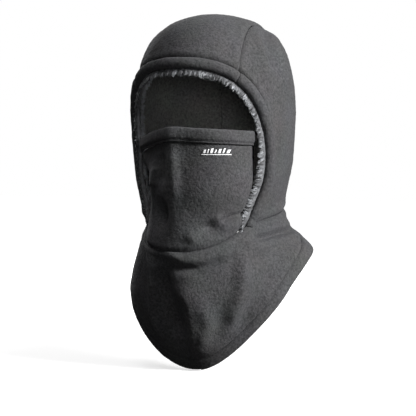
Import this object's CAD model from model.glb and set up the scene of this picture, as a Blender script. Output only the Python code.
import math

import bpy
import numpy as np
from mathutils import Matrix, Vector, kdtree


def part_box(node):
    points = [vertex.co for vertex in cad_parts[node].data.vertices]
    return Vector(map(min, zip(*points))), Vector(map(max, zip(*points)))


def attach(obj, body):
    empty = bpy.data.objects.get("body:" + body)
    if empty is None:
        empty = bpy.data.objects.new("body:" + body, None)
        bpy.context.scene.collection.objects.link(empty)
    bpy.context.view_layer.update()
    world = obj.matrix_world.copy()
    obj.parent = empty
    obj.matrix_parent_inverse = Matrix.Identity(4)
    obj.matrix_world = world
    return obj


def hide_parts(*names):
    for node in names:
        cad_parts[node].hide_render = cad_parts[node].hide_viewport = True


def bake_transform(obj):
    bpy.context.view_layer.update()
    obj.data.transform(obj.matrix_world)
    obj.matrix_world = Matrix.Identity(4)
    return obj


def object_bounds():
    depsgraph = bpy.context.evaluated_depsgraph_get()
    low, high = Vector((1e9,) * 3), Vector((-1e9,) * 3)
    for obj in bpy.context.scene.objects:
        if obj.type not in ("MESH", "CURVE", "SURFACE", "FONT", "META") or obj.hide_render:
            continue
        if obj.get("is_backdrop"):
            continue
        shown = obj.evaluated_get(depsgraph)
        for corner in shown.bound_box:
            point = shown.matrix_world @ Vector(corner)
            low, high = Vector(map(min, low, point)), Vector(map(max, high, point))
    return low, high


# A fleece balaclava, worn shape. Lengths in this script are millimetres until a mesh is made.
# +Z is up, the wearer faces -Y, and +X is the wearer's left.

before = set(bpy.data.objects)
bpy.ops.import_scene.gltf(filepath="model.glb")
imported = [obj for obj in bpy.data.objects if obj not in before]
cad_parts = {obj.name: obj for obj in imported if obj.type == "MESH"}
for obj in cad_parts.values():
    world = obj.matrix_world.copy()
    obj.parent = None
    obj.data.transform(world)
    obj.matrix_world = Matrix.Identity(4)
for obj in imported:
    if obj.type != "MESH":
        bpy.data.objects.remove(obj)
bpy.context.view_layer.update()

MM = 0.001
DETAIL = 1.0

# ---- the form that every panel lies on

# Level sections of the outer fleece: height, half width, front, back.
SECTIONS = np.array([
    (3.4, 0.0, 0.0, 0.0),
    (-1.6, 33.0, -39.0, 38.5),
    (-15.6, 58.8, -70.0, 70.0),
    (-42.0, 78.0, -93.0, 92.5),
    (-75.0, 86.0, -102.5, 102.0),
    (-110.0, 88.0, -106.5, 105.0),
    (-145.0, 87.3, -107.0, 103.0),
    (-180.0, 83.5, -107.0, 98.0),
    (-212.0, 78.5, -106.0, 90.0),
    (-242.0, 83.5, -107.0, 97.0),
    (-272.0, 102.5, -106.0, 121.0),
    (-304.0, 106.5, -100.0, 124.5),
    (-336.0, 104.5, -90.0, 123.5),
    (-367.0, 96.5, -77.0, 121.0),
    (-397.0, 85.5, -60.0, 118.0),
    (-425.0, 75.0, -42.0, 112.0),
])

OPENING_AT = (-110.0, -172.0)      # Y and Z of the axis the face opening is drawn about
OPENING_SIZE = (82.0, 124.0)       # its half depth and half height at the rim's outer edge
OVAL = 1.88                        # 2 is an ellipse, less is nearer a diamond
RIM_WIDTH = 13.0
# The neck seam follows two planes, behind the cheeks and under the chin: Z at Y = 0, and slope.
SEAM_BEHIND = (-223.5, math.tan(math.radians(9.9)))
SEAM_AHEAD = (-205.0, math.tan(math.radians(28.2)))
HEM_LOW = -397.0                   # the drape's lowest level
HEM_RISE = 150.0                   # how far its edge rises towards the back
HEM_WIDTH = 15.0                   # its turned-up hem
MASK_TOP = -127.0
MASK_HEM = 16.0                    # height of the mask's top hem
FLEECE = 2.2                       # thickness of the cloth
LINING_DEPTH = 3.0                 # how far the lining lies under the form
THREAD = 0.42                      # radius of a stitch
STITCH = 3.4                       # length of a stitch

# The camera's place round the object. Folds are laid out as they are seen from there.
AZIMUTH = math.radians(27)
ELEVATION = math.radians(2)
RIGHT = np.array([math.cos(AZIMUTH), math.sin(AZIMUTH), 0.0])
TOWARD = np.array([math.sin(AZIMUTH) * math.cos(ELEVATION), -math.cos(AZIMUTH) * math.cos(ELEVATION),
                   math.sin(ELEVATION)])


def cubic(xs, ys):
    """A natural cubic spline through the points, as a function."""
    order = np.argsort(xs)
    xs, ys = np.asarray(xs, float)[order], np.asarray(ys, float)[order]
    n = len(xs)
    step = np.diff(xs)
    slope = np.diff(ys) / step
    matrix = np.eye(n)
    side = np.zeros(n)
    for i in range(1, n - 1):
        matrix[i, i - 1:i + 2] = step[i - 1], 2 * (step[i - 1] + step[i]), step[i]
        side[i] = 6 * (slope[i] - slope[i - 1])
    bend = np.linalg.solve(matrix, side)

    def value(x):
        x = np.asarray(x, float)
        i = np.clip(np.searchsorted(xs, x) - 1, 0, n - 2)
        near, far, gap = x - xs[i], xs[i + 1] - x, step[i]
        ends = ys[i] * far + ys[i + 1] * near
        curve = bend[i] * far * (far * far - gap * gap) + bend[i + 1] * near * (near * near - gap * gap)
        return ends / gap + curve / (6 * gap)

    return value


heights = SECTIONS[:, 0]
half_square = cubic(heights, SECTIONS[:, 1] ** 2)
depth_square = cubic(heights, ((SECTIONS[:, 3] - SECTIONS[:, 2]) / 2) ** 2)
middle_y = cubic(heights, (SECTIONS[:, 3] + SECTIONS[:, 2]) / 2)


def inside(x, y, z):
    """Below 1 inside the form, 1 on it."""
    a2 = np.maximum(half_square(z), 1e-6)
    b2 = np.maximum(depth_square(z), 1e-6)
    return np.where(z > 3.39, 9.0, x * x / a2 + (y - middle_y(z)) ** 2 / b2)


def hit(origin, way, reach=400.0):
    """Where rays from inside the form leave it."""
    low = np.zeros(origin.shape[:-1])
    high = np.full(origin.shape[:-1], reach)
    for _ in range(34):
        mid = (low + high) / 2
        p = origin + way * mid[..., None]
        within = inside(p[..., 0], p[..., 1], p[..., 2]) < 1
        low, high = np.where(within, mid, low), np.where(within, high, mid)
    return origin + way * low[..., None]


def outward(p):
    """The form's outward normal at points near it."""
    eps = 0.4
    grad = np.stack([
        inside(p[..., 0] + eps, p[..., 1], p[..., 2]) - inside(p[..., 0] - eps, p[..., 1], p[..., 2]),
        inside(p[..., 0], p[..., 1] + eps, p[..., 2]) - inside(p[..., 0], p[..., 1] - eps, p[..., 2]),
        inside(p[..., 0], p[..., 1], p[..., 2] + eps) - inside(p[..., 0], p[..., 1], p[..., 2] - eps),
    ], axis=-1)
    top = p[..., 2] > 2.6
    grad[top] = (0, 0, 1)
    return grad / np.maximum(np.linalg.norm(grad, axis=-1, keepdims=True), 1e-12)


# ---- small numeric helpers

def smooth(x, start, end):
    """0 before start, 1 after end, and a smooth step between."""
    t = np.clip((x - start) / (end - start), 0, 1)
    return t * t * (3 - 2 * t)


def bump(x, centre, width):
    """A rounded bump of height 1."""
    return np.exp(-((x - centre) / width) ** 2)


def noise(p, size, seed=0):
    """Smooth random values from -1 to 1 that change over about size millimetres."""
    q = np.asarray(p, float) / size + seed * 17.31
    cell = np.floor(q).astype(np.int64)
    f = q - cell
    f = f * f * (3 - 2 * f)
    total = 0
    for corner in range(8):
        d = np.array([corner & 1, corner >> 1 & 1, corner >> 2 & 1])
        c = (cell + d).astype(np.uint64)
        key = (c[..., 0] * np.uint64(73856093) ^ c[..., 1] * np.uint64(19349663)
               ^ c[..., 2] * np.uint64(83492791))
        key = (key ^ (key >> np.uint64(13))) * np.uint64(0x9E3779B97F4A7C15)
        key = (key ^ (key >> np.uint64(31))) * np.uint64(0xBF58476D1CE4E5B9)
        value = ((key >> np.uint64(40)).astype(float) / float(1 << 24)) * 2 - 1
        weight = np.prod(np.where(d == 1, f, 1 - f), axis=-1)
        total = total + weight * value
    return total


def seen(p, normal):
    """How far to the camera's right points are, and how much they face it, from 0 to 1."""
    side = p[..., 0] * RIGHT[0] + p[..., 1] * RIGHT[1]
    return side, smooth(normal @ TOWARD, -0.12, 0.18)


def fold(p, normal, path, width, height):
    """A ridge, or a valley if height is below 0, along a path of (sideways, z) as the camera sees it.
    width may be one number or one for each side: left and right of the path's direction."""
    side, facing = seen(p, normal)
    q = np.stack([side, p[..., 2]], axis=-1)
    path = resample(np.asarray(path, float), 24)
    best = np.full(q.shape[:-1], 1e9)
    where = np.zeros(q.shape[:-1])
    left = np.zeros(q.shape[:-1])
    for k in range(len(path) - 1):
        a, b = path[k], path[k + 1]
        d = b - a
        t = np.clip(((q - a) @ d) / (d @ d), 0, 1)
        gap = q - (a + t[..., None] * d)
        dist = np.linalg.norm(gap, axis=-1)
        closer = dist < best
        best = np.where(closer, dist, best)
        where = np.where(closer, (k + t) / (len(path) - 1), where)
        left = np.where(closer, d[0] * gap[..., 1] - d[1] * gap[..., 0], left)
    wide = np.where(left > 0, width[0], width[1]) if hasattr(width, "__len__") else width
    ends = smooth(where, 0, 0.22) * smooth(where, 1, 0.78) if len(path) > 2 else 1
    ends = 0.25 + 0.75 * ends
    return height * np.exp(-(best / wide) ** 2) * ends * facing


def spot(p, normal, at, size, height):
    """A dent or bulge at (sideways, z) as the camera sees it, with its half sizes."""
    side, facing = seen(p, normal)
    gap = ((side - at[0]) / size[0]) ** 2 + ((p[..., 2] - at[1]) / size[1]) ** 2
    return height * np.exp(-gap) * facing


def creased(h, p, normal, features):
    """The height h with folds and spots added. A fold has a list of places, and a spot has one."""
    for place, size, height in features:
        shape = fold if isinstance(place, list) else spot
        h = h + shape(p, normal, place, size, height)
    return h


def travel(line):
    """How far along a line each of its points is."""
    return np.concatenate([[0], np.cumsum(np.linalg.norm(np.diff(line, axis=0), axis=1))])


def resample(curve, count):
    """The curve as count points evenly spaced along it. Columns after the third are carried along."""
    along = travel(curve[:, :3])
    want = np.linspace(0, along[-1], count)
    return np.stack([np.interp(want, along, curve[:, k]) for k in range(curve.shape[1])], axis=1)


def length_of(curve):
    return float(np.linalg.norm(np.diff(curve, axis=0), axis=1).sum())


def seam_z(y):
    """The neck seam's height at each y."""
    behind = SEAM_BEHIND[0] + SEAM_BEHIND[1] * y
    ahead = SEAM_AHEAD[0] + SEAM_AHEAD[1] * y
    return (behind + ahead - np.sqrt((behind - ahead) ** 2 + 9.0)) / 2


def settle(points):
    """Points of the plain form in the worn shape: drawn in beside the chin, spread at the shoulders."""
    x, y, z = points[..., 0], points[..., 1], points[..., 2]
    neck = smooth(-z, 178, 240) * (1 - smooth(-z, 262, 318))
    chin = 0.10 * neck * smooth(-y, -12, 46)
    shoulder = smooth(-z, 216, 250) * (1 - smooth(-z, 262, 300)) * smooth(y, -15, 45)
    spread = 1 + 0.10 * shoulder
    return np.stack([x * (1 - chin) * spread, y * (1 + (spread - 1) * 0.8), z], axis=-1)


# ---- meshes

def mesh_object(name, points, faces, material):
    """A mesh from points, or a grid of points, in millimetres of the plain form."""
    data = bpy.data.meshes.new(name)
    worn = settle(np.asarray(points, float).reshape(-1, 3)) * MM
    data.from_pydata(worn.tolist(), [], [list(map(int, f)) for f in faces])
    data.polygons.foreach_set("use_smooth", [True] * len(data.polygons))
    data.update()
    obj = bpy.data.objects.new(name, data)
    bpy.context.scene.collection.objects.link(obj)
    data.materials.append(material)
    return obj


def grid_faces(rows, columns, closed=False, flip=False):
    """Quads of a grid of rows by columns points. closed joins the last column to the first."""
    r = np.arange(rows - 1)[:, None]
    c = np.arange(columns if closed else columns - 1)[None, :]
    n = (c + 1) % columns
    a, b = r * columns + c, r * columns + n
    d, e = (r + 1) * columns + c, (r + 1) * columns + n
    faces = np.stack([a, b, e, d], axis=-1).reshape(-1, 4)
    return faces[:, ::-1] if flip else faces


def closed_tube(name, rings, ends, flip, material):
    """A tube through rings of points, closed by a fan of triangles round a point at each end."""
    rows, sides = rings.shape[:2]
    faces = list(grid_faces(rows, sides, True, flip))
    first, last, end = rows * sides, rows * sides + 1, (rows - 1) * sides
    for k in range(sides):
        n = (k + 1) % sides
        a, b = (k, n) if flip else (n, k)
        faces += [(first, a, b), (last, end + b, end + a)]
    return mesh_object(name, np.concatenate([rings.reshape(-1, 3), ends]), faces, material)


def thicken(obj, thickness, offset=-1.0):
    """Gives a panel its cloth thickness, inwards from its outer face."""
    modifier = obj.modifiers.new("thickness", "SOLIDIFY")
    modifier.thickness = thickness * MM
    modifier.offset = offset
    modifier.use_even_offset = False
    return obj


def far_from(points, lines):
    """Each point's distance to the nearest of the lines."""
    line = np.concatenate([resample(l, max(8, int(length_of(l) / 0.5))) for l in lines])
    tree = kdtree.KDTree(len(line))
    for i, p in enumerate(line):
        tree.insert(p, i)
    tree.balance()
    flat = points.reshape(-1, 3)
    found = np.array([tree.find(p)[2] for p in flat])
    return found.reshape(points.shape[:-1])


# ---- materials

def adjust(node, values):
    """Sets a node's own inputs by name."""
    for name, value in values.items():
        node.inputs[name].default_value = value


def new_material(name):
    """A material, its nodes, the call that links them, and its shader."""
    mat = bpy.data.materials.new(name)
    mat.use_nodes = True
    nodes = mat.node_tree.nodes
    return mat, nodes, mat.node_tree.links.new, nodes["Principled BSDF"]


def noise_node(nodes, link, scale, detail, rough=0.5):
    """Noise laid out in the object's own frame, finer where scale is larger."""
    where = nodes.new("ShaderNodeTexCoord")
    node = nodes.new("ShaderNodeTexNoise")
    adjust(node, {"Scale": scale, "Detail": detail, "Roughness": rough})
    link(where.outputs["Object"], node.inputs["Vector"])
    return node


def ramp_node(nodes, link, source, low, high):
    """A colour ramp over source, with (position, colour) for each end."""
    ramp = nodes.new("ShaderNodeValToRGB")
    for end, (position, colour) in zip(ramp.color_ramp.elements, (low, high)):
        end.position = position
        end.color = (*colour, 1)
    link(source, ramp.inputs["Fac"])
    return ramp


def add_relief(nodes, link, source, bsdf, strength, distance):
    """Raises the surface by source."""
    relief = nodes.new("ShaderNodeBump")
    adjust(relief, {"Strength": strength, "Distance": distance})
    link(source, relief.inputs["Height"])
    link(relief.outputs["Normal"], bsdf.inputs["Normal"])


def scaled(colour, by):
    """The colour made darker or lighter."""
    return [min(1, c * by) for c in colour]


def fleece_material(name, colour, relief=0.85, fuzz=0.15):
    """Brushed fleece: pebbled nap, soft colour variation and a faint sheen."""
    mat, nodes, link, bsdf = new_material(name)
    adjust(bsdf, {"Roughness": 0.95, "Specular IOR Level": 0.15, "Sheen Weight": fuzz,
                  "Sheen Roughness": 0.6, "Sheen Tint": (0.3, 0.3, 0.33, 1)})
    broad = noise_node(nodes, link, 28, 3)
    pebble = noise_node(nodes, link, 390, 3, 0.55)
    fibre = noise_node(nodes, link, 1300, 2, 0.6)
    mix = nodes.new("ShaderNodeMix")
    mix.inputs[0].default_value = 0.35
    link(pebble.outputs["Fac"], mix.inputs[2])
    link(fibre.outputs["Fac"], mix.inputs[3])
    ramp = ramp_node(nodes, link, mix.outputs[0], (0.36, scaled(colour, 0.6)), (0.64, scaled(colour, 1.45)))
    shade = nodes.new("ShaderNodeMix")
    shade.data_type = "RGBA"
    shade.blend_type = "MULTIPLY"
    shade.inputs[0].default_value = 0.35
    link(ramp.outputs["Color"], shade.inputs[6])
    link(broad.outputs["Color"], shade.inputs[7])
    tone = nodes.new("ShaderNodeHueSaturation")
    adjust(tone, {"Saturation": 0.35, "Value": 1.15})
    link(shade.outputs[2], tone.inputs["Color"])
    link(tone.outputs["Color"], bsdf.inputs["Base Color"])
    add_relief(nodes, link, mix.outputs[0], bsdf, relief, 0.0017)
    return mat


def plain_material(name, colour, roughness, grain, relief=0.0003):
    """A plain cloth or print with fine grain in its colour and surface."""
    mat, nodes, link, bsdf = new_material(name)
    adjust(bsdf, {"Roughness": roughness})
    speckle = noise_node(nodes, link, grain, 3)
    grey = speckle.outputs["Fac"]
    ramp = ramp_node(nodes, link, grey, (0.3, scaled(colour, 0.7)), (0.7, scaled(colour, 1.25)))
    link(ramp.outputs["Color"], bsdf.inputs["Base Color"])
    add_relief(nodes, link, grey, bsdf, 0.4, relief)
    return mat


def pile_material(name):
    """Plush fibres. Each fibre carries its own shade as an attribute."""
    mat, nodes, link, bsdf = new_material(name)
    adjust(bsdf, {"Roughness": 0.7, "Sheen Weight": 0.3})
    shade = nodes.new("ShaderNodeAttribute")
    shade.attribute_name = "fibre_shade"
    ramp = ramp_node(nodes, link, shade.outputs["Fac"], (0.0, (0.03, 0.03, 0.033)), (1.0, (0.55, 0.57, 0.6)))
    link(ramp.outputs["Color"], bsdf.inputs["Base Color"])
    return mat


FLEECE_COLOUR = (0.05, 0.05, 0.054)
fleece = fleece_material("fleece", FLEECE_COLOUR)
rim_fleece = fleece_material("fleece_rim", FLEECE_COLOUR)
lining = fleece_material("lining", (0.31, 0.315, 0.29), relief=0.85 * 0.7, fuzz=0.2)
plush = pile_material("plush")
thread = plain_material("thread", (0.018, 0.018, 0.02), 0.7, 3000.0)
print_ink = plain_material("reflective_print", (0.82, 0.83, 0.85), 0.45, 1400.0, 0.00005)
label_cloth = plain_material("label", (0.55, 0.55, 0.53), 0.85, 2200.0)


# ---- the hood's three panels

# Half width of the crown panel in plan, at each Y.
strip_half = cubic([-140, -100, -62, -30, 0, 40, 75, 140], [63, 62.5, 59.5, 53, 47.5, 43, 41, 40])


def in_opening(y, z, inset=0.0):
    """Below 1 inside the face opening's oval, drawn inset from the rim's outer edge."""
    dy = np.abs(y - OPENING_AT[0]) / (OPENING_SIZE[0] - inset)
    dz = np.abs(z - OPENING_AT[1]) / (OPENING_SIZE[1] - inset)
    return dy ** OVAL + dz ** OVAL


def opening_edge(turn, inset):
    """Y and Z of the oval at an angle from level with its middle, up."""
    c, s = np.cos(turn), np.sin(turn)
    y = OPENING_AT[0] + (OPENING_SIZE[0] - inset) * np.sign(c) * np.abs(c) ** (2 / OVAL)
    z = OPENING_AT[1] + (OPENING_SIZE[1] - inset) * np.sign(s) * np.abs(s) ** (2 / OVAL)
    return y, z


def above_seam(y, z):
    """How far a place is above the neck seam."""
    return z - seam_z(y)


CENTRE = -95.0                     # Z of the axis that the crown panel sweeps round


def strip_point(across, angle):
    """A point of the crown panel: across from -1 to 1, angle from the front over the top to the back."""
    y = np.zeros(np.broadcast(across, angle).shape)
    for _ in range(7):
        x = across * strip_half(y)
        origin = np.stack([x, np.zeros_like(x), np.full_like(x, CENTRE)], axis=-1)
        way = np.stack([np.zeros_like(x), -np.cos(angle) + 0 * x, np.sin(angle) + 0 * x], axis=-1)
        p = hit(origin, way)
        y = p[..., 1]
    return p


def strip_ends(across, inset):
    """The angles at which the crown panel meets the opening, drawn inset, and the neck seam."""
    def search(test, low, high):
        low, high = np.full(across.shape, low), np.full(across.shape, high)
        for _ in range(22):
            mid = (low + high) / 2
            p = strip_point(across, mid)
            keep = test(p)
            low, high = np.where(keep, mid, low), np.where(keep, high, mid)
        return (low + high) / 2

    front = search(lambda p: in_opening(p[..., 1], p[..., 2], inset) < 1, 0.15, 1.5)
    back = search(lambda p: above_seam(p[..., 1], p[..., 2]) > 0, math.pi - 0.1, math.pi + 1.3)
    return front, back


def strip_grid(inset, rows, columns):
    """The crown panel as rows from the face to the nape by columns across it."""
    across = np.linspace(-1, 1, columns)
    front, back = strip_ends(across, inset)
    part = np.linspace(0, 1, 260)[:, None]
    dense = strip_point(np.broadcast_to(across, (260, columns)), front + (back - front) * part)
    return np.stack([resample(dense[:, c], rows) for c in range(columns)], axis=1)


def side_height(y, z):
    """The form's x at a place seen from the side."""
    a2 = np.maximum(half_square(z), 1e-6)
    b2 = np.maximum(depth_square(z), 1e-6)
    return np.sqrt(np.maximum(a2 * (1 - (y - middle_y(z)) ** 2 / b2), 0))


def side_outline(inset):
    """The left side panel's edges: the crown seam, the neck seam and the rim's edge."""
    front, back = strip_ends(np.array([1.0]), inset)
    angle = np.linspace(front[0], back[0], 400)
    crown = strip_point(np.full(400, 1.0), angle)
    nape = crown[-1]
    top = crown[0]
    rise = abs(top[2] - OPENING_AT[1]) / (OPENING_SIZE[1] - inset)
    run = abs(top[1] - OPENING_AT[0]) / (OPENING_SIZE[0] - inset)
    turn0 = math.atan2(rise ** (OVAL / 2), run ** (OVAL / 2))
    y, z = opening_edge(np.linspace(turn0, -1.2, 900), inset)
    keep = above_seam(y, z) > 0
    rim = np.stack([side_height(y, z), y, z], axis=1)[keep]
    foot_y = np.linspace(nape[1], rim[-1][1], 300)
    foot_z = seam_z(foot_y)
    foot = np.stack([side_height(foot_y, foot_z), foot_y, foot_z], axis=1)
    return crown, foot, rim


def side_grid(inset, rings, spokes):
    """The left side panel as rings round a centre by spokes out to its edges."""
    crown, foot, rim = side_outline(inset)
    loop = np.concatenate([crown, foot, rim[::-1]])
    centre = np.array([22.0, -125.0])
    flat = loop[:, 1:]
    angle = np.unwrap(np.arctan2(flat[:, 1] - centre[1], flat[:, 0] - centre[0]))
    order = np.argsort(angle)
    angle = angle[order]
    reach = np.linalg.norm(flat[order] - centre, axis=1)
    want = np.linspace(angle[0], angle[0] + 2 * math.pi, spokes, endpoint=False)
    edge = np.interp(want, np.append(angle, angle[0] + 2 * math.pi), np.append(reach, reach[0]))
    part = np.linspace(0.004, 1, rings)[:, None]
    y = centre[0] + part * edge * np.cos(want)
    z = centre[1] + part * edge * np.sin(want)
    return np.stack([side_height(y, z), y, z], axis=-1)


def nap(points, amount=0.2):
    """The uneven surface of brushed fleece, as a height at each point."""
    return amount * (noise(points, 2.6, 3) + 0.8 * noise(points, 5.5, 5))


SIDE_FOLDS = [
    ([(42, -16), (45, -30), (52, -50), (58, -78)], 6, 3.2),
    ([(51, -8), (54, -24), (59, -42), (66, -66)], 5, -4.0),
    ([(58, -10), (66, -28), (76, -56), (80, -84)], 8, 3.0),
    ([(84, -176), (78, -200), (66, -224)], 7, -2.6),
    ([(88, -196), (82, -214), (74, -226)], 6, 2.2),
]


def hood_folds(p, normal):
    """Soft folds of the hood as a height outward from the form."""
    h = 1.1 * noise(p, 46, 11) + 0.7 * noise(p, 22, 12)
    if p[..., 0].max() > 80 and p[..., 0].min() > -5:          # the wearer's left side panel
        h = creased(h, p, normal, SIDE_FOLDS)
    return h


def seam_dip(distance, depth=1.9, width=2.0, puff=0.5):
    """How a panel turns in at a seam and puffs a little beside it."""
    return -depth * np.exp(-(distance / width) ** 2) + puff * bump(distance, 5.5, 3.5)


crown_line, foot_line, rim_line = side_outline(0.0)
mirror = np.array([-1.0, 1.0, 1.0])
brow_across, _, nape_across = strip_grid(0.0, 3, 41)
rim_edge = [rim_line, rim_line * mirror, brow_across]


def shell_panel(name, grid, closed, flip, seams, node, material, depth=0.0, thickness=FLEECE):
    """A panel on the form, or depth under it for a lining. An outer panel has nap and turns in at its
    seams, and both kinds sink beside the rim."""
    normal = outward(grid)
    from_rim = far_from(grid, rim_edge)
    lift = hood_folds(grid, normal) - depth
    if depth == 0.0:
        lift = lift + seam_dip(far_from(grid, seams)) + nap(grid)
        lift = lift - 2.6 * bump(from_rim, 0.8, 2.4)
    else:
        lift = lift + 0.1 * noise(grid, 3, 9)
        lift = lift - 4.5 * bump(from_rim, 0.8, 5.0)
    points = grid + normal * lift[..., None]
    rows, columns = grid.shape[:2]
    faces = grid_faces(rows, columns, closed, flip)
    obj = mesh_object(name, points, faces, material)
    thicken(obj, thickness)
    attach(obj, "hood")
    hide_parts(node)
    return obj


INSET_FLEECE = 5.0                 # the panels run on this far under the rim
crown_seams = [crown_line, crown_line * mirror, nape_across, brow_across]
crown_outer = strip_grid(INSET_FLEECE, int(210 * DETAIL), int(90 * DETAIL))
shell_panel("crown_fleece", crown_outer, False, True, crown_seams, "crown_panel", fleece)
side_outer = side_grid(INSET_FLEECE, int(75 * DETAIL), int(400 * DETAIL))
side_seams = [crown_line, foot_line, rim_line]
shell_panel("side_fleece_left", side_outer, True, True, side_seams, "side_panel_left", fleece)
shell_panel("side_fleece_right", side_outer * mirror, True, False, [s * mirror for s in side_seams],
            "side_panel_right", fleece)

INSET_LINING = 12.0                # and the linings this far
crown_inner = strip_grid(INSET_LINING, int(110 * DETAIL), int(50 * DETAIL))
shell_panel("crown_inside", crown_inner, False, True, [], "crown_lining", lining, LINING_DEPTH, 1.0)
side_inner = side_grid(INSET_LINING, int(40 * DETAIL), int(200 * DETAIL))
shell_panel("side_inside_left", side_inner, True, True, [], "side_lining_left", lining,
            LINING_DEPTH, 1.0)
shell_panel("side_inside_right", side_inner * mirror, True, False, [], "side_lining_right", lining,
            LINING_DEPTH, 1.0)


# ---- tubes and bands along a line

def line_frames(line, normals):
    """Along, outward and across directions at each point of a line on the form."""
    along = np.gradient(line, axis=0)
    along /= np.linalg.norm(along, axis=1, keepdims=True)
    out = normals - along * np.sum(normals * along, axis=1, keepdims=True)
    out /= np.linalg.norm(out, axis=1, keepdims=True)
    across = np.cross(along, out)
    return along, out, across


def roll(name, line, normals, half_width, half_height, lift, material, sides=26, square=2.6,
         wobble=0.0, seed=0):
    """A soft roll of cloth along a line. half_width is across the line, half_height outward, and lift is
    how far its middle stands off the line. A wide roll sinks where it comes near the neck seam."""
    _, out, across = line_frames(line, normals)
    turn = np.linspace(0, 2 * math.pi, sides, endpoint=False)
    c, s = np.cos(turn), np.sin(turn)
    shape_c = np.sign(c) * np.abs(c) ** (2 / square)
    shape_s = np.sign(s) * np.abs(s) ** (2 / square)
    far = travel(line)
    near_end = np.minimum(far, far[-1] - far)
    pinch = 1 - 0.35 * np.exp(-(near_end / 1.8) ** 2)
    width = np.asarray(half_width) * np.ones(len(line)) * (1 - 0.05 * np.exp(-(near_end / 1.8) ** 2))
    height = np.asarray(half_height) * np.ones(len(line)) * pinch
    rings = (line[:, None] + out[:, None] * lift
             + across[:, None] * (shape_c * width[:, None])[..., None]
             + out[:, None] * (shape_s * height[:, None])[..., None])
    tuck = 5.0 * (1 - smooth(above_seam(line[:, 1], line[:, 2]), 0, 10)) * (half_width > 2)
    rings = rings - out[:, None] * tuck[:, None, None]
    centre = line[:, None] + out[:, None] * (lift - tuck)[:, None, None]
    way = rings - centre
    way /= np.maximum(np.linalg.norm(way, axis=-1, keepdims=True), 1e-9)
    if wobble:
        uneven = noise(rings, 9, seed + 1) + 0.6 * noise(rings, 4, seed + 2)
        rings = rings + way * (wobble * uneven)[..., None]
    rings = rings + way * nap(rings, 0.12)[..., None]
    return closed_tube(name, rings, [centre[0, 0], centre[-1, 0]], False, material)


# ---- the rolled rim

def opening_line(inset, count=420):
    """A line round the face opening on the form, from the right foot over the brow to the left foot."""
    turn = np.linspace(math.pi / 2 + 1e-3, -1.35, 1500)
    y, z = opening_edge(turn, inset)
    on = (inside(np.zeros_like(y), y, z) < 1) & (above_seam(y, z) > -3)
    y, z = y[on], z[on]
    half = np.stack([side_height(y, z), y, z], axis=1)
    whole = np.concatenate([(half * mirror)[::-1], half])
    return resample(whole, count)


rim_mid = opening_line(RIM_WIDTH / 2, int(360 * DETAIL))
rim_normal = outward(rim_mid)
off_seam = np.abs(strip_half(rim_mid[:, 1]) - rim_mid[:, 0])
junction = int(np.argmin(np.where(rim_mid[:, 0] < 0, np.inf, off_seam)))     # where the crown seam meets it
mirror_junction = len(rim_mid) - 1 - junction
spans = {
    "right": (0, mirror_junction + 1),
    "top": (mirror_junction, junction + 1),
    "left": (junction, len(rim_mid)),
}
for side, (start, stop) in spans.items():
    piece = roll("rim_roll_" + side, rim_mid[start:stop], rim_normal[start:stop], half_width=6.3,
                 half_height=5.9, lift=2.0, material=rim_fleece, sides=34,
                 square=2.05, wobble=0.3, seed=len(side))
    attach(piece, "hood")
    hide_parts("rim_casing_" + side)
    if side == "top":
        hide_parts("rim_elastic")


# ---- the plush edge

plush_mid = opening_line(RIM_WIDTH + 2.0, int(420 * DETAIL))
plush_normal = outward(plush_mid)
plush_base = roll("plush_backing", plush_mid, plush_normal, half_width=3.2, half_height=2.4, lift=-1.4,
                  material=plush, sides=14, square=2.2, wobble=0.4, seed=9)
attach(plush_base, "hood")


def set_shade(obj, shade):
    """Gives each point the shade that the pile's material reads."""
    layer = obj.data.attributes.new("fibre_shade", "FLOAT", "POINT")
    layer.data.foreach_set("value", shade.astype(np.float32))


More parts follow.
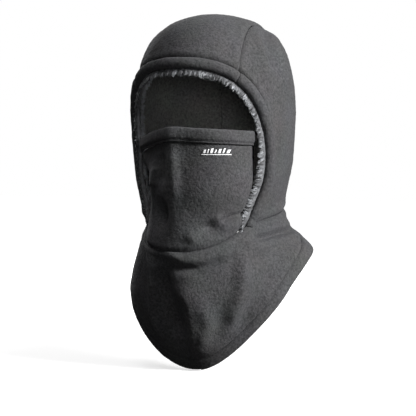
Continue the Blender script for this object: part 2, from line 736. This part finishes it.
def fibres(name, line, normals, tufts, per_tuft, length, width, seed, band=3.4, lean=1.3, tone=0.24):
    """Pile along a line: tufts whose fibres spread at the root and close to a point over the opening.
    band is how wide the rooted strip is, and lean how far the tips stand outward."""
    pick = np.random.default_rng(seed)
    along, out, _ = line_frames(line, normals)
    count = tufts * per_tuft
    place = np.repeat(pick.random(tufts) * (len(line) - 1.001), per_tuft)
    i = place.astype(int)
    f = (place - i)[:, None]
    root = line[i] * (1 - f) + line[i + 1] * f
    t, o = along[i], out[i]
    inward = np.array([0.0, OPENING_AT[0], OPENING_AT[1]]) - root
    inward[:, 0] = -root[:, 0]
    inward -= o * np.sum(inward * o, axis=1, keepdims=True)
    inward -= t * np.sum(inward * t, axis=1, keepdims=True)
    inward /= np.linalg.norm(inward, axis=1, keepdims=True)
    # The pile is longer beside the left cheek, and shorter and sunk at its feet.
    shaggy = (smooth(-root[:, 2], 120, 175) * (root[:, 0] > 0))[:, None]
    foot = 1 - smooth(above_seam(root[:, 1], root[:, 2]), 1, 16)[:, None]
    root = root - o * foot * 4.0 - t * foot * 2.0 * np.sign(t[:, 2:3])

    def each(scale):
        return np.repeat(pick.standard_normal((tufts, 1)) * scale, per_tuft, axis=0)

    def every(scale):
        return pick.standard_normal((count, 1)) * scale

    size = length * (1 + each(0.2) + every(0.08)) * (1 + 0.75 * shaggy) * (1 - 0.75 * foot)
    start = np.repeat((pick.random((tufts, 1)) - 0.76) * band, per_tuft, axis=0)
    reach = inward * (size + start * (band > 4))
    tip = root + reach + o * (lean + each(0.9)) + t * each(1.5) - t * shaggy * 1.2 * np.sign(t[:, 2:3])
    base = root + inward * (start + every(0.45))
    depth = np.repeat(pick.random((tufts, 1)) * 1.6 - 0.8, per_tuft, axis=0)
    base = base + o * depth + t * every(0.55)
    tip = tip + every(0.22) * t + every(0.22) * o
    side = np.cross(tip - base, o + 0.4 * t + every(0.5) * t)
    side /= np.linalg.norm(side, axis=1, keepdims=True)
    points = []
    for s, w in ((0.0, 1.0), (0.5, 0.85), (1.0, 0.15)):
        centre = base * (1 - s) + tip * s + o * (1.6 * s * (1 - s))
        points += [centre - side * width * w / 2, centre + side * width * w / 2]
    points = np.stack(points, axis=1).reshape(-1, 3)
    first = np.arange(count)[:, None] * 6
    quads = np.concatenate([first + np.array([0, 1, 3, 2]), first + np.array([2, 3, 5, 4])])
    level = tone + 0.28 * noise(root, 6.0, seed + 1)[:, None] + each(0.2) + every(0.08)
    shade = np.clip(level * np.array([[0.25, 0.25, 0.8, 0.8, 1.35, 1.35]]), 0.0, 1).ravel()
    obj = mesh_object(name, points, quads, plush)
    set_shade(obj, shade)
    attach(obj, "hood")
    return obj


pile = fibres("plush_pile", plush_mid, plush_normal, tufts=int(1300 * DETAIL), per_tuft=15, length=4.8,
              width=0.5, seed=21)
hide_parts("plush_trim")

# The pile goes on down the inner wall of the rim, which shows on the wearer's right only.
wall_mid = opening_line(RIM_WIDTH, int(420 * DETAIL))[:int(170 * DETAIL)]
wall_normal = outward(wall_mid)
wall_mid = wall_mid - wall_normal * 4.6
fibres("plush_inside", wall_mid, wall_normal, tufts=int(900 * DETAIL), per_tuft=12, length=4.4,
       width=0.6, seed=22, band=9.0, lean=-2.6, tone=1.1)
base_points = np.array([v.co for v in plush_base.data.vertices]) / MM
set_shade(plush_base, 0.13 + 0.1 * noise(base_points, 1.6, 31))


# ---- the mask

NOSE_FRONT = -109.0                # Y of the nose ridge
NOSE_ROUND = 11.0                  # how gently it turns
CHEEK_WIDTH = 74.0                 # the left cheek is a quarter of an oval of this width and depth
CHEEK_DEPTH = 89.0
CHEEK_OVAL = 3.2
BEHIND_PLUSH = (3.5, 13.0)         # how far the mask runs on behind the plush, on the left and right


def mask_form(theta, z):
    """A point of the mask's plain form at an angle from straight ahead, positive to the wearer's left.
    Its left cheek is full and its right one falls away from the nose. Under the chin it is round."""
    a = np.sqrt(np.maximum(half_square(z), 1))
    b = np.sqrt(np.maximum(depth_square(z), 1))
    x = a * np.sin(theta)
    round_front = middle_y(z) - b * np.cos(theta)
    reach = np.clip(np.maximum(x, 0) / CHEEK_WIDTH, 0, 0.9985)
    full = CHEEK_DEPTH * (1 - (1 - reach ** CHEEK_OVAL) ** (1 / CHEEK_OVAL))
    ridge = np.sqrt(np.maximum(-x, 0) ** 2 + NOSE_ROUND ** 2) - NOSE_ROUND
    tent = NOSE_FRONT + full + 0.62 * ridge + 0.0052 * ridge ** 2
    share = smooth(z, -250, -190)
    return np.stack([x, round_front * (1 - share) + tent * share, z + 0 * theta], axis=-1)


def mask_normal(p):
    """Outward directions of a grid of the mask's form."""
    down = np.gradient(p, axis=0)
    across = np.gradient(p, axis=1)
    n = np.cross(across, down)
    n /= np.maximum(np.linalg.norm(n, axis=-1, keepdims=True), 1e-9)
    away = p * np.array([1, 1, 0])
    return n * np.sign(np.sum(n * away, axis=-1, keepdims=True))


def line_normal(line):
    """Outward directions along a line across the mask."""
    return mask_normal(np.stack([line, line - np.array([0, 0, 1.0])]))[0]


def mask_edge(z):
    """The Y at which the mask's side edge shows beside the plush, at each height."""
    return -47.0 - 12.0 * smooth(-z, 180, 246)


MASK_FOLDS = [
    ([(-67, -166), (-71, -192)], (3.0, 6), 3.4),
    ([(-60, -152), (-62, -190)], 5, -3.2),
    ([(-57, -184), (-58, -212)], 4, 2.2),
    ([(-48, -150), (-47, -178), (-46, -206)], (5, 9), 2.4),
    ((-66, -222), (8, 15), -13.0),
    ((-4, -236), (9, 4.5), -5.0),
    ((4, -226), (7, 5), 3.4),
    ([(4, -230), (20, -224), (40, -219)], (3.0, 3.0), -3.6),
    ([(6, -238), (24, -233), (40, -227)], 5, 3.0),
    ((-24, -247), (10, 7), 4.0),
    ([(24, -168), (30, -190), (22, -212)], 12, 2.0),
]


def mask_shape(p, normal):
    """The mask's height outward: nose, folds, and side edges that pass behind the plush."""
    x, y, z = p[..., 0], p[..., 1], p[..., 2]
    edge = mask_edge(z)
    h = 2.5 * bump(x, 0, 10) * smooth(z, -214, -160)
    h = creased(h, p, normal, MASK_FOLDS)
    h = h + 0.8 * noise(p, 26, 41)
    h = h - 10.0 * smooth(-x, 38, 70) * smooth(-z, 150, 180) * (1 - 0.6 * smooth(-z, 200, 228))
    h = h - 6.0 * smooth(y, edge - 14, edge)
    h = h - 7.0 * smooth(y, edge + 1, edge + 10) * (x < 0)
    return h


def mask_grid(rows, columns, top):
    """The mask below its hem, rows from the hem down to the neck seam."""
    part = np.linspace(0, 1, rows)[:, None]
    z = np.full((rows, columns), top, float)
    dense = np.linspace(0.6, 1.5, 300)
    for _ in range(12):
        reach = []
        for level in z[:, 0]:
            left = mask_form(dense, np.full(300, level))[:, 1]
            right = mask_form(-dense, np.full(300, level))[:, 1]
            reach.append((np.interp(mask_edge(level) + BEHIND_PLUSH[0], left, dense),
                          np.interp(mask_edge(level) + BEHIND_PLUSH[1], right, dense)))
        across = np.linspace(-1, 1, columns)
        reach = np.array(reach)
        theta = np.where(across > 0, reach[:, :1] * across, reach[:, 1:] * across)
        foot = seam_z(mask_form(theta[-1], z[-1])[..., 1])
        z = top + (foot - top) * part
    return mask_form(theta, z)


def mask_tilt(p):
    """How far the mask's upper edge rides above its level: high on the nose, low at the right cheek."""
    x, z = p[..., 0], p[..., 2]
    rise = 1.5 - 4.4 * np.maximum(x, 0) / 78 - 11.5 * smooth(-x, -6, 92) * 1.12
    return rise * smooth(z, -215, MASK_TOP - MASK_HEM)


mask_low = MASK_TOP - MASK_HEM
grid = mask_grid(int(95 * DETAIL), int(170 * DETAIL), mask_low)
grid_normal = mask_normal(grid)
lift = mask_shape(grid, grid_normal) + nap(grid) + seam_dip(far_from(grid, [grid[-1]]), 2.2, 2.4, 0.4)
lift = lift + seam_dip(far_from(grid, [grid[0]]), 1.0, 1.4, 0.0)
points = grid + grid_normal * lift[..., None]
points[..., 2] += mask_tilt(grid)
panel = mesh_object("mask_fleece", points, grid_faces(*grid.shape[:2], flip=True), fleece)
thicken(panel, FLEECE)
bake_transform(panel)
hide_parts("mask_panel")
back_points = (points - grid_normal * 2.6)[::2, ::2]
back = mesh_object("mask_inside", back_points, grid_faces(*back_points.shape[:2], flip=True),
                   lining)
thicken(back, 1.0)
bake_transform(back)
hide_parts("mask_lining")

# The turned-over top hem of the mask: its front face, top fold and back, as a closed band.
HEM_END = -43.0                    # Y of its ends


def find_hem_end():
    """The angle at which the mask's hem ends."""
    theta = np.linspace(0, 1.5, 600)
    y = mask_form(theta, np.full(600, MASK_TOP - MASK_HEM / 2))[:, 1]
    return float(theta[np.argmin(np.abs(y - HEM_END))])


hem_end = find_hem_end()


def hem_band(name, theta):
    """The hem between the first and last angle, with rounded ends."""
    columns = len(theta)
    turn = np.linspace(0, 2 * math.pi, 40, endpoint=False)
    level = MASK_TOP - MASK_HEM / 2
    plain = mask_form(theta, np.full(columns, level))
    far = travel(plain)
    near_end = np.minimum(far, far[-1] - far)
    corner = np.sqrt(np.clip(1 - (1 - np.clip(near_end / 5.0, 0, 1)) ** 2, 0.02, 1))
    up = np.sign(np.sin(turn)) * np.abs(np.sin(turn)) ** (2 / 3.4) * MASK_HEM / 2
    out = np.sign(np.cos(turn)) * np.abs(np.cos(turn)) ** (2 / 2.2) * 3.4
    up, out = up[:, None] * (0.45 + 0.55 * corner), out[:, None] * (0.3 + 0.7 * corner)
    flat = np.broadcast_to(plain, (len(turn), columns, 3)).copy()
    normal = np.broadcast_to(line_normal(plain), flat.shape)
    base = flat.copy()
    base[..., 2] = level + up
    lift = mask_shape(flat, normal) + 0.9 + out
    lift = lift - 1.8 * bump(up, -MASK_HEM / 2 + 2.6, 1.1) * (out > 0)
    lift = lift + 0.4 * noise(base, 9, 51) + nap(base, 0.13)
    points = base + normal * lift[..., None]
    points[..., 2] += mask_tilt(flat) + 0.5 * noise(flat, 18, 53)
    rings = points.transpose(1, 0, 2)
    return closed_tube(name, rings, [rings[0].mean(0), rings[-1].mean(0)], True, fleece)


hem = hem_band("mask_hem_band", np.linspace(-hem_end, hem_end, int(170 * DETAIL)))
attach(hem, "mask")
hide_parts("mask_top_hem", "mask_elastic")


# ---- the neck and drape

def hem_level(y):
    """The Z of the drape's lower edge at each Y: an oval that rises towards the back."""
    return HEM_LOW + HEM_RISE * np.sqrt(np.maximum(0, 1 - ((y - 125.0) / 185.0) ** 2))


def drape_base(theta, z):
    """A point of the drape's plain form."""
    a = np.sqrt(np.maximum(half_square(z), 1))
    b = np.sqrt(np.maximum(depth_square(z), 1))
    return np.stack([a * np.sin(theta), middle_y(z) - b * np.cos(theta), z + 0 * theta], axis=-1)


def drape_grid(rows, columns):
    """The neck and drape: rows from the neck seam to the hem, columns right round from the back."""
    theta = np.linspace(-math.pi, math.pi, columns, endpoint=False)
    z_top = np.full(columns, SEAM_BEHIND[0])
    for _ in range(25):
        z_top = seam_z(drape_base(theta, z_top)[:, 1])
    low, high = np.full(columns, HEM_LOW), np.full(columns, -235.0)
    for _ in range(40):
        mid = (low + high) / 2
        y = drape_base(theta, mid)[:, 1]
        under = mid < hem_level(y)
        low, high = np.where(under, mid, low), np.where(under, high, mid)
    z_low = (low + high) / 2
    dense = np.linspace(0, 1, 120)[:, None]
    column = drape_base(np.broadcast_to(theta, (120, columns)), z_top + (z_low - z_top) * dense)
    return np.stack([resample(column[:, c], rows) for c in range(columns)], axis=1)


DRAPE_FOLDS = [
    ([(-70, -268), (-50, -280), (-20, -282), (20, -268)], (5, 5), -5.5),
    ([(-66, -256), (-36, -272), (-10, -271), (24, -257)], 5, 2.5),
    ([(46, -249), (64, -245), (82, -240), (104, -236)], (3.0, 4.0), -9.0),
    ((50, -256), (12, 7), 3.5),
    ([(44, -273), (64, -264), (92, -252)], 5, -4.0),
    ([(41, -256), (35, -274), (29, -298), (20, -324), (12, -350)], 9, 6.0),
    ([(18, -356), (34, -332), (52, -306), (74, -278)], (9, 9), -4.5),
    ([(-46, -292), (-30, -318), (-26, -350), (-20, -384)], (22, 8), 9.0),
    ([(-68, -276), (-60, -308), (-50, -338), (-40, -364)], (10, 9), -11.0),
    ([(-82, -258), (-77, -282), (-74, -306), (-72, -336), (-60, -368)], (3.5, 3.5), 5.5),
    ([(-16, -316), (-9, -340), (-16, -366)], 7, 3.5),
]


def drape_folds(p, normal):
    """The drape's folds as a height outward."""
    return creased(1.6 * noise(p, 60, 61) + 0.8 * noise(p, 28, 62), p, normal, DRAPE_FOLDS)


def around(line):
    """The line closed into a loop."""
    return np.concatenate([line, line[:1]])


rows, columns = int(100 * DETAIL), int(420 * DETAIL)
base = drape_grid(rows, columns)
normal = outward(base)
lift = drape_folds(base, normal) + nap(base)
lift = lift + seam_dip(far_from(base, [around(base[0])]), 2.2, 2.4, 0.9)
outer = base + normal * lift[..., None]
up_from_hem = np.cumsum(np.linalg.norm(np.diff(outer[::-1], axis=0), axis=-1), axis=0)
from_hem = np.concatenate([np.zeros((1, columns)), up_from_hem], axis=0)[::-1]
hem_top = HEM_WIDTH + 0.5          # the doubled cloth below this stands out, with a groove at its stitches
outer = outer - normal * (1.1 * bump(from_hem, HEM_WIDTH, 1.2))[..., None]
outer = outer + normal * (0.9 * smooth(from_hem, hem_top, hem_top - 3) * (from_hem < hem_top))[..., None]
drape_faces = grid_faces(rows, columns, True, True)
drape = mesh_object("neck_drape", outer, drape_faces, fleece)
thicken(drape, FLEECE)
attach(drape, "hood")
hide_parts("neck_skirt")
inner = outer - normal * 2.8
drape_back = mesh_object("drape_inside", inner, drape_faces, lining)
thicken(drape_back, 0.9)
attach(drape_back, "hood")
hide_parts("skirt_lining", "bottom_hem")


# ---- threads, print and label

def stitched(name, line, normals, lift, body, node):
    """A row of stitches along a line: one thread that dives between stitches."""
    count = max(12, int(length_of(line) / (STITCH / 5)))
    if normals is not None:
        normals = resample(np.concatenate([line, normals], axis=1), count)[:, 3:]
    line = resample(line, count)
    if normals is None:
        normals = outward(line)
    wave = np.abs(np.sin(math.pi * travel(line) / STITCH)) ** 0.6
    size = THREAD * (0.3 + 0.7 * wave)
    obj = roll(name, line + normals * (0.35 * (wave - 1))[:, None], normals, size, size, lift,
               thread, 6, 2.0)
    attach(obj, body)
    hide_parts(node)


stitched("crown_thread_left", crown_line, None, -1.3, "hood", "crown_seam_left")
stitched("crown_thread_right", crown_line * mirror, None, -1.3, "hood", "crown_seam_right")
stitched("neck_thread", around(base[0]), None, -1.2, "hood", "neck_seam")
hem_row = np.stack([outer[int(np.argmin(np.abs(from_hem[:, c] - HEM_WIDTH))), c] for c in range(columns)])
stitched("hem_thread", around(hem_row), None, 0.2, "hood", "hem_stitching")
stitched("back_thread", outer[3:-2, 0], None, 0.1, "hood", "back_seam")

turns = np.linspace(-hem_end * 0.985, hem_end * 0.985, 400)
hem_line = mask_form(turns, np.full(400, MASK_TOP - MASK_HEM / 2))
hem_normal = line_normal(hem_line)
stitch_line = hem_line + hem_normal * (mask_shape(hem_line, hem_normal) + 2.6)[:, None]
stitch_line[:, 2] = MASK_TOP - MASK_HEM + 2.6 + mask_tilt(hem_line)
stitched("mask_hem_thread", stitch_line, line_normal(stitch_line), 0.0, "mask", "mask_hem_stitching")


def laid_on(marks, surface):
    """Flat marks in x and z laid on a surface: each takes its y from the four nearest surface points."""
    tree = kdtree.KDTree(len(surface))
    for i, p in enumerate(surface):
        tree.insert((p[0], 0.0, p[2]), i)
    tree.balance()
    out = []
    for x, z in marks:
        near = tree.find_n((x, 0.0, z), 4)
        weight = np.array([1 / (found[2] + 0.05) for found in near])
        y = sum(surface[found[1]][1] * w for found, w in zip(near, weight)) / weight.sum()
        out.append((x, y, z))
    return np.array(out)


def printed_bars():
    """The pale print: slanted bars standing on a thin line, as outlines in x and z."""
    foot, tall = -156.5, 7.0
    shapes = [((34.0, foot), (61.5, foot), (61.5, foot + 0.9), (34.0, foot + 0.9))]
    place = 35.4
    for number, wide in enumerate((2.4, 1.5, 2.4, 1.5, 2.4, 1.5, 2.4)):
        high = foot + 1.9 + tall * (0.55 + 0.1 * (number % 3))
        shapes.append(((place, foot + 1.9), (place + wide, foot + 1.9),
                       (place + wide + 1.4, high), (place + 1.4, high)))
        place += wide + 1.75
    return shapes


mark_points, mark_faces = [], []
for corners in printed_bars():
    (x0, z0), (x1, z1), (x2, z2), (x3, z3) = corners
    wide = max(2, int(abs(x1 - x0) / 0.7) + 1)
    high = max(2, int(abs(z3 - z0) / 0.7) + 1)
    first = len(mark_points)
    for i in range(high + 1):
        for j in range(wide + 1):
            u, v = j / wide, i / high
            x = (x0 * (1 - u) + x1 * u) * (1 - v) + (x3 * (1 - u) + x2 * u) * v
            z = z0 * (1 - v) + z3 * v
            mark_points.append((x, z))
    for face in grid_faces(high + 1, wide + 1):
        mark_faces.append([first + int(k) for k in face])
near_grid = points[:int(40 * DETAIL)].reshape(-1, 3)
near_grid = near_grid[near_grid[:, 0] > 20]
laid = laid_on(mark_points, near_grid) + np.array([0.45, -0.55, 0.0])      # just proud of the fleece
mark = mesh_object("reflective_print", laid, mark_faces, print_ink)
thicken(mark, 0.25, 0.0)
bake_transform(mark)
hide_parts("reflective_mark")

# A blank folded label on the inside of the nape.
label_box = [np.array(v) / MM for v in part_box("care_label")]
u = np.linspace(-1, 1, 25)[None, :]
v = np.linspace(0, 1, 33)[:, None]
label_x = u * (label_box[1][0] - label_box[0][0]) / 2 + 0 * v
label_z = label_box[1][2] - v * (label_box[1][2] - label_box[0][2])
label_y = (label_box[0][1] + 0.2 - 1.6 * bump(v, 0.75, 0.3) + 0.5 * np.sin(3 * u + 4 * v) * v
           - 0.9 * bump(v, 0.04, 0.04))
label_grid = np.stack([label_x, label_y + 0 * u, label_z + 0 * u], axis=-1)
label = mesh_object("blank_label", label_grid, grid_faces(33, 25), label_cloth)
thicken(label, 0.4, 0.0)
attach(label, "hood")
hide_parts("care_label")

# ---- floor, light and camera

def stage_material():
    """A white floor that shows the object's soft shadow, and throws little light back up at it."""
    mat, nodes, link, pale = new_material("floor")
    adjust(pale, {"Base Color": (0.7, 0.7, 0.7, 1), "Roughness": 0.9, "Emission Color": (1, 1, 1, 1)})
    place = nodes.new("ShaderNodeTexCoord")
    away = nodes.new("ShaderNodeVectorMath")
    away.operation = "LENGTH"
    glow = nodes.new("ShaderNodeMapRange")
    adjust(glow, {"From Min": 0.25, "From Max": 0.9, "To Min": 0.45, "To Max": 1.0})
    link(place.outputs["Object"], away.inputs[0])
    link(away.outputs["Value"], glow.inputs["Value"])
    link(glow.outputs["Result"], pale.inputs["Emission Strength"])
    dim = nodes.new("ShaderNodeBsdfDiffuse")
    adjust(dim, {"Color": (0.06, 0.06, 0.06, 1)})
    seen = nodes.new("ShaderNodeLightPath")
    choice = nodes.new("ShaderNodeMixShader")
    link(seen.outputs["Is Camera Ray"], choice.inputs[0])
    link(dim.outputs[0], choice.inputs[1])
    link(pale.outputs[0], choice.inputs[2])
    link(choice.outputs[0], nodes["Material Output"].inputs["Surface"])
    return mat


low, high = (np.array(v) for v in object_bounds())
bpy.ops.mesh.primitive_plane_add(size=12, location=(0, 0, low[2] - 0.001))
floor = bpy.context.object
floor.name = "floor"
floor.data.materials.append(stage_material())
floor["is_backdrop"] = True

world = bpy.data.worlds.new("studio")
bpy.context.scene.world = world
world.use_nodes = True
studio = world.node_tree.nodes
soft_light = studio["Background"]
soft_light.inputs[0].default_value = (1, 1, 1, 1)
soft_light.inputs[1].default_value = 0.02
backdrop = studio.new("ShaderNodeBackground")
backdrop.inputs[0].default_value = (1, 1, 1, 1)
backdrop.inputs[1].default_value = 1.0
seen = studio.new("ShaderNodeLightPath")
choice = studio.new("ShaderNodeMixShader")
join = world.node_tree.links.new
join(seen.outputs["Is Camera Ray"], choice.inputs[0])
join(soft_light.outputs[0], choice.inputs[1])
join(backdrop.outputs[0], choice.inputs[2])
join(choice.outputs[0], studio["World Output"].inputs["Surface"])
bpy.context.scene.view_settings.view_transform = "Standard"


def area_light(name, place, size, power, aim):
    """A round soft light at a place, turned to aim."""
    data = bpy.data.lights.new(name, "AREA")
    data.shape = "DISK"
    data.size = size
    data.energy = power
    lamp = bpy.data.objects.new(name, data)
    bpy.context.scene.collection.objects.link(lamp)
    lamp.location = place
    lamp.rotation_euler = (Vector(aim) - Vector(place)).to_track_quat("-Z", "Y").to_euler()


aim = np.array([0.0, 0.0, -0.2])
area_light("key", aim + RIGHT * 1.3 + TOWARD * 0.9 + np.array([0, 0, 0.55]), 0.5, 62, aim)
area_light("top", aim + RIGHT * -0.25 + TOWARD * 0.5 + np.array([0, 0, 1.5]), 0.9, 11, aim)
area_light("back", aim - TOWARD * 1.6 - RIGHT * 0.6 + np.array([0, 0, 0.8]), 0.8, 22, aim)
area_light("front", aim + TOWARD * 1.7 + RIGHT * 0.1 + np.array([0, 0, 0.1]), 0.4, 2.2, aim)

VIEW_WIDTH = 0.48256               # metres across the picture at the object
SENSOR = 36.0
target = RIGHT * -0.0105 + np.array([0.0, 0.0, -0.2175])
distance = 1.6
camera_data = bpy.data.cameras.new("camera")
camera_data.lens = SENSOR * distance / VIEW_WIDTH
camera = bpy.data.objects.new("camera", camera_data)
bpy.context.scene.collection.objects.link(camera)
camera.location = target + TOWARD * distance
camera.rotation_euler = (Vector(target) - camera.location).to_track_quat("-Z", "Y").to_euler()
bpy.context.scene.camera = camera
